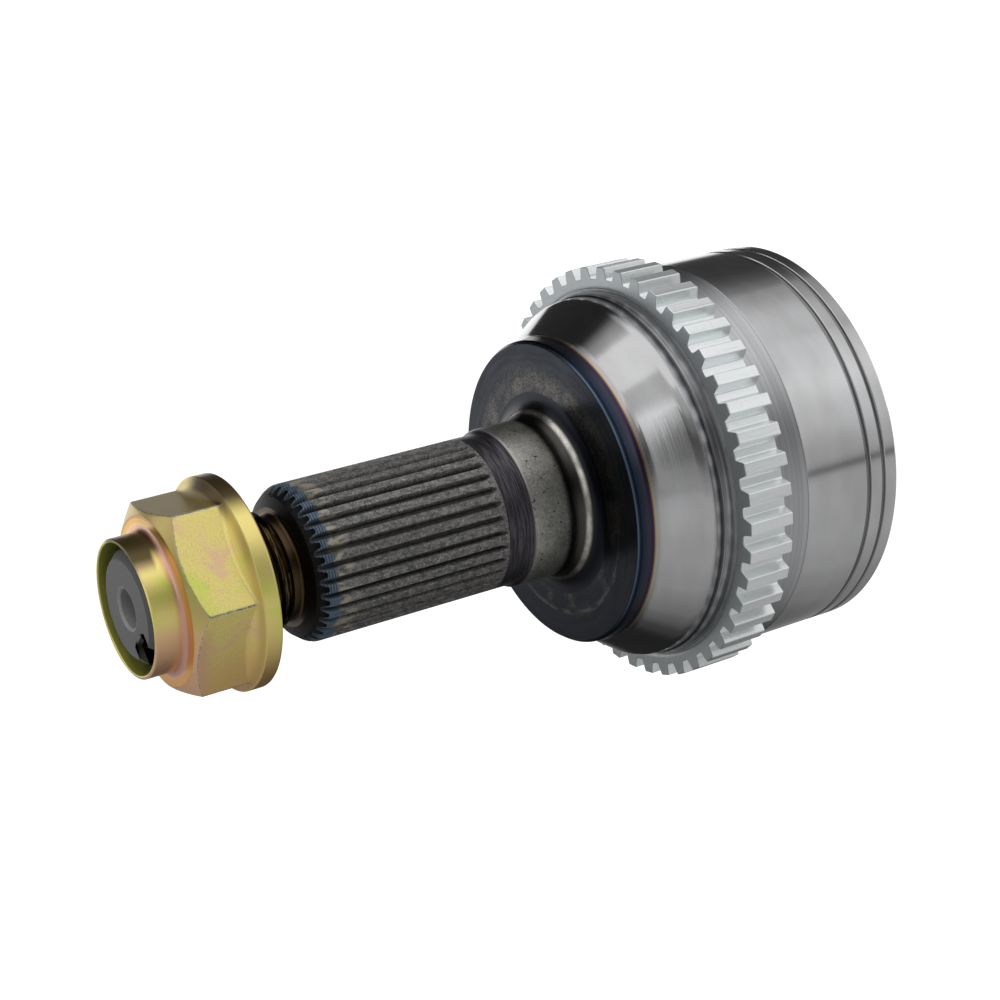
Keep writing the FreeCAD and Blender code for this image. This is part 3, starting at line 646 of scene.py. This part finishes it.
def stub_look():
    """The dark turned neck, a painted highlight on the edge of its step, lighter on top, the pitted cast
    shoulder, and in its root fillet a painted highlight line between painted dark reflections.
    """
    look = Look("stub_shoulder")
    cloud = look.noise(0.22, 0.22, 0.22, detail=5.0, rough=0.6)
    lines = look.noise(4.0, 2.0, 0.25, detail=2.0)
    grit = look.noise(2.6, 0.0, 2.6, rough=0.6)
    neck = look.mix(look.step(lines, 0.35, 0.65), (0.035, 0.031, 0.038), (0.10, 0.092, 0.105))
    # Painted highlight on the edge of the step from neck to shoulder, lighter towards the top.
    edge = look.mix(look.step(look.z, -3.0, 7.0), (0.22, 0.22, 0.21), (0.42, 0.42, 0.41))
    cast = look.mix(look.step(cloud, 0.3, 0.7), (0.21, 0.207, 0.19), (0.38, 0.375, 0.345))
    cast = look.mix(look.step(grit, 0.45, 0.7, 0.0, 0.55), cast, (0.58, 0.57, 0.53))
    # Painted highlight: the narrow bright line along the root fillet. The ramp below paints the fillet dark
    # on either side of it, as painted reflection, into the near-black hub face.
    painted_fillet_highlight = look.mix(look.step(cloud, 0.35, 0.65), (0.34, 0.33, 0.30), (0.72, 0.70, 0.64))
    base = look.ramp(look.x, (SHOULDER_X - 0.5, neck), (SHOULDER_X - 0.25, edge), (SHOULDER_X + 0.1, cast),
                     (HUB_X - 5.8, cast), (HUB_X - 4.5, (0.04, 0.037, 0.035)),
                     (HUB_X - 2.3, (0.08, 0.077, 0.07)), (HUB_X - 1.7, painted_fillet_highlight),
                     (HUB_X - 1.55, painted_fillet_highlight), (HUB_X - 1.0, (0.03, 0.03, 0.032)),
                     (HUB_X - 0.4, (0.012, 0.014, 0.02)))
    pits = look.step(look.noise(1.5, 0.0, 1.5, detail=1.0), 0.66, 0.72)
    on_cast = look.band(look.x, SHOULDER_X - 1.3, SHOULDER_X + 0.2, HUB_X - 4.6, HUB_X - 3.6)
    base = look.mix(look.times(pits, on_cast, 0.85), base, (0.02, 0.018, 0.018))
    look.set(Base_Color=base, Metallic=look.step(look.x, HUB_X - 6.1, HUB_X - 4.1, 0.85, 1.0),
             Roughness=look.step(look.x, HUB_X - 6.1, HUB_X - 3.6, 0.34, 0.24),
             Normal=look.bump(look.plus(look.times(grit, 0.6), lines), 0.03))
    return look


def hub_look():
    """The near-black hub face with its stains, a blue line on its chamfer and annealing colours behind."""
    look = Look("hub_face")
    wipe = look.noise(0.0, 0.8, 0.12, detail=4.0, rough=0.6)
    face = look.mix(look.step(wipe, 0.35, 0.7), (0.009, 0.012, 0.018), (0.021, 0.025, 0.034))
    patch = look.step(look.noise(0.0, 0.0, 0.16), 0.45, 0.65)
    stained = look.times(look.band(look.r, 17.5, 20.5, 21.5, 25.5), patch, 0.85)
    face = look.speckle(stained, face, (0.17, 0.15, 0.13), 3.0, 0.35, 0.7)
    upper = look.times(look.step(look.z, 0.0, 20.0), look.step(look.r, 26.5, 22.0), 0.6)
    face = look.speckle(upper, face, (0.115, 0.105, 0.095), 2.6, 0.38, 0.7)
    arc = look.times(look.band(look.r, 22.8, 23.2, 23.6, 24.1), look.step(look.z, 8.0, -3.0))
    worn = look.step(look.noise(0.0, 1.5, 0.35, detail=4.0), 0.42, 0.62, 0.0, 0.8)
    face = look.mix(look.times(arc, worn), face, (0.10, 0.095, 0.085))
    chamfer = look.times(look.step(look.r, HUB_FACE_RADIUS, HUB_FACE_RADIUS + 0.13),
                         look.step(look.x, HUB_X + 0.75, HUB_X + 0.45))
    blue_line = look.mix(look.step(look.x, HUB_X + 0.45, HUB_X + 0.25), (0.022, 0.034, 0.06),
                         (0.11, 0.15, 0.21))
    face = look.mix(chamfer, face, blue_line)
    land = look.ramp(look.x, (-35.6, (0.022, 0.036, 0.068)), (-34.9, (0.035, 0.046, 0.072)),
                     (-34.0, (0.06, 0.056, 0.08)), (-33.3, (0.04, 0.04, 0.08)), (-33.0, (0.13, 0.06, 0.09)),
                     (-32.75, (0.50, 0.36, 0.17)), (FLARE_X, (0.5, 0.48, 0.45)))
    base = look.mix(look.step(look.x, HUB_X + 0.75, HUB_X + 0.85), face, land)
    look.set(Base_Color=base, Metallic=1.0, Roughness=look.step(wipe, 0.3, 0.7, 0.30, 0.2),
             Normal=look.bump(look.noise(1.3, 1.3, 0.05), 0.006))
    return look


def bell_look():
    """Turned steel: the bright flare, the rough fold before the ring with a painted shade line in its crease,
    the collar and the ground bell, with painted shade in its two grooves.
    """
    look = Look("bell_steel")
    lathe = look.noise(1.6, 1.6, 0.015, detail=4.0, rough=0.7)
    cloud = look.noise(0.10, 0.10, 0.05)
    blot = look.noise(0.5, 0.5, 0.22)
    turned = look.noise(1.1, 1.1, 0.02, detail=2.0)
    steel = look.mix(look.step(cloud, 0.3, 0.7), (0.57, 0.57, 0.575), (0.68, 0.685, 0.695))
    fold = look.mix(look.step(turned, 0.38, 0.62), (0.22, 0.22, 0.23), (0.50, 0.50, 0.51))
    fold = look.mix(look.step(blot, 0.45, 0.7, 0.0, 0.35), fold, (0.16, 0.16, 0.17))
    collar = look.mix(look.step(lathe, 0.3, 0.7), (0.46, 0.465, 0.48), (0.58, 0.585, 0.60))
    # Painted shade: the dark line in the crease at the fold's small step.
    crease_shade, step_line = (0.10, 0.10, 0.11), (0.30, 0.30, 0.31)
    base = look.ramp(look.x, (FLARE_X, (0.42, 0.40, 0.36)), (-31.6, steel), (-23.9, steel), (-23.2, fold),
                     (-22.4, fold), (-22.2, crease_shade), (-21.7, crease_shade), (-21.5, fold), (-19.6, fold),
                     (-9.0, collar), (COLLAR_END_X - 0.2, collar), (COLLAR_END_X - 0.1, step_line),
                     (COLLAR_END_X + 0.1, steel), (9.7, steel))
    # Painted shade in the bell's two grooves; the same mask also darkens the mouth's chamfer and face.
    groove_shade = look.times(look.step(look.r, 37.75, 37.45), look.step(look.x, 9.6, 9.9), 0.55)
    base = look.mix(groove_shade, base, (0.06, 0.055, 0.055))
    rough = look.step(look.x, -24.3, -23.3, 0.12, 0.30)
    rough = look.step(look.x, COLLAR_END_X - 0.05, COLLAR_END_X + 0.15, rough, 0.15)
    look.set(Base_Color=base, Metallic=1.0, Roughness=rough,
             Normal=look.bump(look.math("MULTIPLY_ADD", lathe, 0.25, cloud), 0.012))
    return look


def hollow_look():
    look = Look("bell_hollow")
    lines = look.noise(1.2, 0.4, 0.05)
    cloud = look.noise(0.12, 0.0, 0.12, detail=4.0)
    tone = look.mix(look.step(cloud, 0.3, 0.7), (0.30, 0.29, 0.28), (0.46, 0.45, 0.44))
    rim = look.step(look.x, MOUTH_X - 0.6, MOUTH_X - 0.1)
    look.set(Base_Color=look.mix(rim, tone, grey(0.55)), Metallic=1.0,
             Roughness=look.step(cloud, 0.3, 0.7, 0.34, 0.24), Normal=look.bump(lines, 0.01))
    return look


# Speed ring
def ring_look():
    """White zinc, duller on the punched front face."""
    look = Look("ring_zinc")
    grain = look.noise(1.6, 0.0, 1.6, detail=4.0, rough=0.6)
    streak = look.noise(0.10, 0.0, 1.6)
    zinc = look.mix(look.step(grain, 0.3, 0.7), (0.94, 0.98, 0.99), (0.98, 1.0, 1.0))
    zinc = look.mix(look.times(look.step(streak, 0.55, 0.75), 0.3), zinc, (0.74, 0.81, 0.85))
    dull = look.mix(grain, (0.32, 0.345, 0.355), (0.44, 0.465, 0.475))
    front = look.step(look.x, RING_FRONT_X + 0.14, RING_FRONT_X + 0.04)
    look.set(Base_Color=look.mix(front, zinc, dull), Metallic=0.75,
             Roughness=look.math("MULTIPLY_ADD", front, 0.1, 0.27), Normal=look.bump(grain, 0.015))
    return look


# Hub nut
def nut_clouds(look):
    """Gold plating with pink and green clouds, tan below, a painted shadow in brown on the skirt at the
    flange, rosy at the lower front.
    """
    tint = look.noise(0.11, 0.0, 0.11, detail=2.0, warp=0.8)
    gold, green, pink = (1.0, 0.85, 0.29), (0.84, 0.88, 0.19), (1.0, 0.66, 0.42)
    base = look.ramp(tint, (0.28, pink), (0.43, gold), (0.53, gold), (0.66, green))
    below = look.times(look.step(look.z, 2.0, -14.0), 0.85)
    base = look.mix(below, base, (0.84, 0.51, 0.20))
    # Painted shadow: brown on the skirt where the hexagon runs into the flange.
    skirt = look.times(look.step(look.x, FLANGE_X - 1.4, FLANGE_X - 0.4), look.step(look.r, 19.6, 18.9), 0.6)
    base = look.mix(skirt, base, (0.50, 0.33, 0.11))
    lower_front = look.times(look.step(look.z, 4.5, -2.0),
                             look.step(look.x, HEX_FRONT_X + 4.0, HEX_FRONT_X + 1.0), 0.8)
    return look.mix(lower_front, base, (0.90, 0.52, 0.34))


def nut_flats(look, angle):
    """1 on the hexagon's flats and 0 elsewhere, and the degrees to the nearest corner."""
    to_corner = look.math("PINGPONG", look.minus(angle, NUT_TURN), 30.0)
    off_middle = look.times(look.minus(30.0, to_corner), 1 / DEGREES)
    depth = look.minus(NUT_APOTHEM, look.times(look.r, look.math("COSINE", off_middle)))
    on_flat = look.times(look.step(depth, 0.12, 0.04), look.step(look.x, FLANGE_X - 0.7, FLANGE_X - 1.5))
    return on_flat, to_corner


def nut_front(look, base, on_flat):
    """Orange on the face ring, brown on the upper chamfer, rosy in the fillet at the collar's foot."""
    face = look.times(look.step(look.x, HEX_FRONT_X + 0.1, HEX_FRONT_X + 0.02), look.step(look.r, 13.5, 14.0))
    base = look.mix(look.times(face, 0.85), base, (0.85, 0.44, 0.07))
    cone = look.times(look.step(look.x, HEX_FRONT_X + 4.5, HEX_FRONT_X + 3.5), look.step(look.r, 14.6, 14.9),
                      look.minus(1.0, on_flat), look.step(look.z, -3.0, 6.0))
    base = look.mix(look.times(cone, 0.6), base, (0.32, 0.21, 0.09))
    fillet = look.times(look.step(look.x, HEX_FRONT_X - 1.6, HEX_FRONT_X - 0.6),
                        look.step(look.r, 13.9, 13.4), 0.9)
    return look.mix(fillet, base, (0.80, 0.43, 0.33))


def nut_top_shade(look, base, angle):
    """Painted shade in dark brown on top of the collar, the fillet and the flange, and green inside the
    collar.
    """
    round_parts = look.math("MAXIMUM", look.step(look.x, HEX_FRONT_X + 0.3, HEX_FRONT_X - 0.8),
                            look.step(look.x, FLANGE_X - 1.7, FLANGE_X - 0.9))
    wider = look.step(look.x, HEX_FRONT_X - 1.6, HEX_FRONT_X - 2.6, 0.0, -10.0)
    # Painted shade: the tops of the collar, its fillet and the flange are darkened.
    on_top = look.step(look.plus(look.math("ABSOLUTE", angle), wider), 31.0, 13.0)
    base = look.mix(look.times(on_top, round_parts, 0.93), base, (0.05, 0.028, 0.010))
    inside = look.times(look.step(look.r, 12.0, 11.9),
                        look.step(look.x, HEX_FRONT_X + 2.5, HEX_FRONT_X + 0.5), 0.8)
    return look.mix(inside, base, (0.58, 0.66, 0.10))


def nut_look():
    """Yellow zinc, stippled on the flats and worn to steel along their edges."""
    look = Look("nut_zinc")
    stipple = look.noise(4.2, 0.0, 4.2, detail=2.0)
    angle = look.angle()
    on_flat, to_corner = nut_flats(look, angle)
    base = nut_clouds(look)
    dots = look.times(on_flat, look.step(stipple, 0.50, 0.62), 0.30)
    base = look.mix(dots, base, (0.62, 0.46, 0.12))
    from_top_flat = look.math("ABSOLUTE", look.minus(angle, NUT_TURN - 30.0))
    top_flat = look.times(on_flat, look.step(from_top_flat, 31.5, 27.0), 0.85)
    base = look.mix(top_flat, base, (0.20, 0.13, 0.065))
    base = nut_front(look, base, on_flat)
    base = nut_top_shade(look, base, angle)
    cone_height = look.times(look.minus(look.x, HEX_FRONT_X), CONE_SLOPE)
    behind_cone = look.minus(cone_height, look.minus(look.r, CONE_START))
    near_edge = look.math("MINIMUM", look.times(to_corner, 0.31), behind_cone)
    ragged = look.plus(near_edge, look.times(look.noise(1.1, 0.0, 1.1), 0.5))
    worn = look.times(on_flat, look.step(ragged, 0.50, 0.30))
    bare = look.mix(look.step(stipple, 0.42, 0.55), (0.10, 0.10, 0.09), (0.55, 0.56, 0.52))
    height = look.times(stipple, look.math("MULTIPLY_ADD", on_flat, 0.8, 0.2))
    look.set(Base_Color=look.mix(worn, base, bare), Metallic=look.math("MULTIPLY_ADD", on_flat, -0.2, 0.7),
             Roughness=look.math("MULTIPLY_ADD", on_flat, 0.04, 0.30), Normal=look.bump(height, 0.03))
    return look


def dress(obj, *looks):
    slots = obj.data.materials
    for number, look in enumerate(looks):
        if number < len(slots):
            slots[number] = look.material
        else:
            slots.append(look.material)


dress(forging, end_look(), thread_look(), spline_look(), stub_look(), hub_look(), bell_look(), hollow_look())
dress(ring, ring_look())
dress(nut, nut_look())


# Inner pieces, shown as the CAD has them
def race_look():
    look = Look("race_steel")
    lines = look.noise(1.5, 1.5, 0.05)
    cloud = look.noise(0.15, 0.0, 0.15, detail=4.0)
    base = look.mix(look.step(cloud, 0.3, 0.7), (0.36, 0.35, 0.34), (0.54, 0.53, 0.52))
    look.set(Base_Color=base, Metallic=1.0, Roughness=look.step(cloud, 0.3, 0.7, 0.32, 0.2),
             Normal=look.bump(lines, 0.006))
    return look


def cage_look():
    look = Look("cage_steel")
    cloud = look.noise(0.2, 0.0, 0.2, detail=4.0)
    fine = look.noise(2.0, 0.0, 2.0)
    base = look.mix(look.step(cloud, 0.3, 0.7), (0.16, 0.155, 0.155), (0.30, 0.295, 0.29))
    look.set(Base_Color=base, Metallic=1.0, Roughness=look.step(fine, 0.3, 0.7, 0.36, 0.26),
             Normal=look.bump(fine, 0.006))
    return look


def ball_look():
    look = Look("ball_chrome")
    haze = look.noise(0.3, 0.0, 0.3, detail=4.0)
    look.set(Base_Color=look.mix(haze, grey(0.62), grey(0.74)), Metallic=1.0,
             Roughness=look.step(haze, 0.3, 0.7, 0.06, 0.12))
    return look


def snap_look():
    look = Look("snap_steel")
    fine = look.noise(1.5, 0.0, 1.5)
    look.set(Base_Color=look.mix(fine, (0.035, 0.033, 0.032), (0.10, 0.095, 0.09)), Metallic=0.9,
             Roughness=0.42, Normal=look.bump(fine, 0.01))
    return look


dress(nodes["inner_race"], race_look())
dress(nodes["cage"], cage_look())
dress(nodes["snap_ring"], snap_look())
ball_finish = ball_look()
for number in range(1, 7):
    dress(nodes[f"ball_{number}"], ball_finish)


# Stage: a pale floor, a soft lamp, and glowing cards that the metal mirrors and the camera doesn't see.
# Places and sizes from here on are in metres, and a card's stops in millimetres.
SUBJECT = Vector((-0.045, 0.0, 0.0))
FLOOR_Z = -0.3
FLOOR_HALF = 3.0
FLOOR_GLOW = 0.92
WORLD_DIFFUSE = 0.5
CARD_DISTANCE = 0.9


def floor_look():
    """A pale diffuse floor that glows white on the rays that show the background."""
    look = Look("floor_white", "ShaderNodeAddShader")
    rays = look.node("ShaderNodeLightPath").outputs
    either = look.plus(rays["Is Camera Ray"], rays["Is Glossy Ray"])
    seen = look.math("MINIMUM", look.plus(either, rays["Is Transmission Ray"]), 1.0)
    pale = look.node("ShaderNodeBsdfDiffuse", (0.5, 0.5, 0.5))
    glow = look.node("ShaderNodeEmission", (1.0, 1.0, 1.0), look.times(seen, FLOOR_GLOW))
    look.tree.links.new(pale.outputs[0], look.shader.inputs[0])
    look.tree.links.new(glow.outputs[0], look.shader.inputs[1])
    return look


def stage_sheet(name, verts, faces, look, at=(0.0, 0.0, 0.0)):
    """A sheet of the stage, whose material coordinates start at a place of its own."""
    mesh = bpy.data.meshes.new(name)
    mesh.from_pydata([Vector(v) - Vector(at) for v in verts], [], faces)
    look.material.cycles.emission_sampling = "NONE"
    mesh.materials.append(look.material)
    sheet = link(bpy.data.objects.new(name, mesh))
    sheet.location = at
    return sheet


def flat_corners(xs, ys, z):
    return [(xs[0], ys[0], z), (xs[1], ys[0], z), (xs[1], ys[1], z), (xs[0], ys[1], z)]


def glow_look(name, stops, level):
    """Light that runs through (millimetres, strength) stops, by height or, on a level card, by distance."""
    look = Look(name, "ShaderNodeEmission")
    value = look.length(look.x, look.y) if level else look.z
    look.set(Color=look.ramp(value, *[(at, grey(strength)) for at, strength in stops]), Strength=1.0)
    return look


def hide_from_camera(sheet):
    sheet.visible_camera = False
    sheet.visible_shadow = False
    return sheet


def card(name, sides, heights, stops, distance=CARD_DISTANCE, lean=0.0):
    """An upright curved card round the subject, from one azimuth to another in degrees from +X towards +Y,
    and between two heights. Its ends lean by degrees per metre."""
    steps = 12
    verts = []
    for height in heights:
        for n in range(steps + 1):
            angle = math.radians(sides[0] + (sides[1] - sides[0]) * n / steps - lean * height)
            verts.append(SUBJECT + Vector((distance * math.cos(angle), distance * math.sin(angle), height)))
    faces = [(n, n + 1, n + steps + 2, n + steps + 1) for n in range(steps)]
    return hide_from_camera(stage_sheet(name, verts, faces, glow_look(name, stops, level=False)))


def level_card(name, xs, ys, z, centre, stops):
    """A level card, whose stops run by the distance from a centre."""
    look = glow_look(name, stops, level=True)
    return hide_from_camera(stage_sheet(name, flat_corners(xs, ys, z), [(0, 1, 2, 3)], look, (*centre, 0.0)))


floor_span = (-FLOOR_HALF, FLOOR_HALF)
stage_sheet("floor", flat_corners(floor_span, floor_span, FLOOR_Z), [(0, 1, 2, 3)], floor_look())

DARK_THEN_BRIGHT = [(0, 0.44), (160, 0.33), (240, 0.27), (420, 0.12), (630, 0.09), (900, 0.20), (1285, 0.45),
                    (1930, 0.55), (2600, 0.9)]
card("back_card", (33, 62), (0.0, 1.95),
     [(0, 0.05), (500, 0.05), (620, 0.08), (800, 0.2), (960, 0.42), (1285, 0.65), (1900, 1.0)])
card("left_back_card", (62, 128), (0.0, 1.95),
     [(0, 0.03), (900, 0.02), (1285, 0.42), (1560, 0.7), (1900, 1.0)])
card("side_card", (-12, 33), (0.0, 1.9), [(0, 0.10), (500, 0.12), (930, 0.40), (1200, 0.78), (1600, 1.1)])
card("front_backing", (-205, 5), (-0.06, 0.35), [(0, 0.03), (300, 0.03)], distance=0.97)
card("right_panel", (-54.5, -12), (0.025, 1.2),
     [(50, 0.46), (110, 0.50), (400, 0.72), (700, 0.92), (1000, 0.78)])
card("middle_panel", (-127, -54.5), (0.0, 2.6), DARK_THEN_BRIGHT)
card("left_backing", (-165, -125), (0.12, 2.6), DARK_THEN_BRIGHT, distance=0.92)
card("left_panel", (-210, -122), (0.12, 1.05), [(100, 0.42), (400, 0.70), (700, 0.95), (900, 1.0)],
     distance=0.88, lean=20)
card("left_top_card", (-172, -125), (1.0, 2.2), [(1000, 0.85), (1200, 0.60), (1600, 0.62), (2200, 0.85)],
     distance=0.87)
card("apron_right", (-57, -5), (-0.29, -0.018), [(-100, 0.48), (0, 0.48)])
card("apron_left", (-190, -57), (-0.29, 0.06), [(-100, 0.48), (50, 0.46)])
ceiling = level_card("ceiling", (-1.6, 0.9), (-1.6, -0.25), 2.25, (-0.3, -0.9), [(0, 1.0), (1500, 1.0)])
ceiling.visible_diffuse = False
# Painted shadow: the table card is dark under the subject and brightens outwards, as the object's shadow on a
# table, seen only in the metal.
level_card("table_painted_shadow", (-0.65, 0.6), (-0.6, 0.27), -0.16, (0.0, 0.045),
           [(50, 0.02), (80, 0.06), (105, 0.15), (130, 0.24), (165, 0.31), (200, 0.38), (300, 0.44),
            (700, 0.47)])


def area_light(name, at, size, watts):
    data = bpy.data.lights.new(name, "AREA")
    data.shape = "RECTANGLE"
    data.size, data.size_y = size
    data.energy = watts
    light = link(bpy.data.objects.new(name, data))
    light.location = at
    light.rotation_euler = (SUBJECT - Vector(at)).to_track_quat("-Z", "Y").to_euler()
    light.visible_glossy = False


def make_world():
    """White on the rays that show the background, and dimmer as light on the object."""
    world = bpy.data.worlds.new("studio")
    bpy.context.scene.world = world
    world.use_nodes = True
    tree = world.node_tree
    rays = tree.nodes.new("ShaderNodeLightPath")
    total = None
    for ray in ("Is Camera Ray", "Is Glossy Ray", "Is Transmission Ray"):
        add = tree.nodes.new("ShaderNodeMath")
        add.operation = "ADD"
        if total is None:
            add.inputs[0].default_value = WORLD_DIFFUSE
        else:
            tree.links.new(total, add.inputs[0])
        tree.links.new(rays.outputs[ray], add.inputs[1])
        total = add.outputs[0]
    limit = tree.nodes.new("ShaderNodeMath")
    limit.operation = "MINIMUM"
    tree.links.new(total, limit.inputs[0])
    limit.inputs[1].default_value = 1.0
    background = tree.nodes["Background"]
    background.inputs["Color"].default_value = (1, 1, 1, 1)
    tree.links.new(limit.outputs[0], background.inputs["Strength"])


area_light("top", (-0.1, -0.25, 0.9), (0.7, 0.5), 3.0)
make_world()
bpy.context.scene.view_settings.view_transform = "Standard"
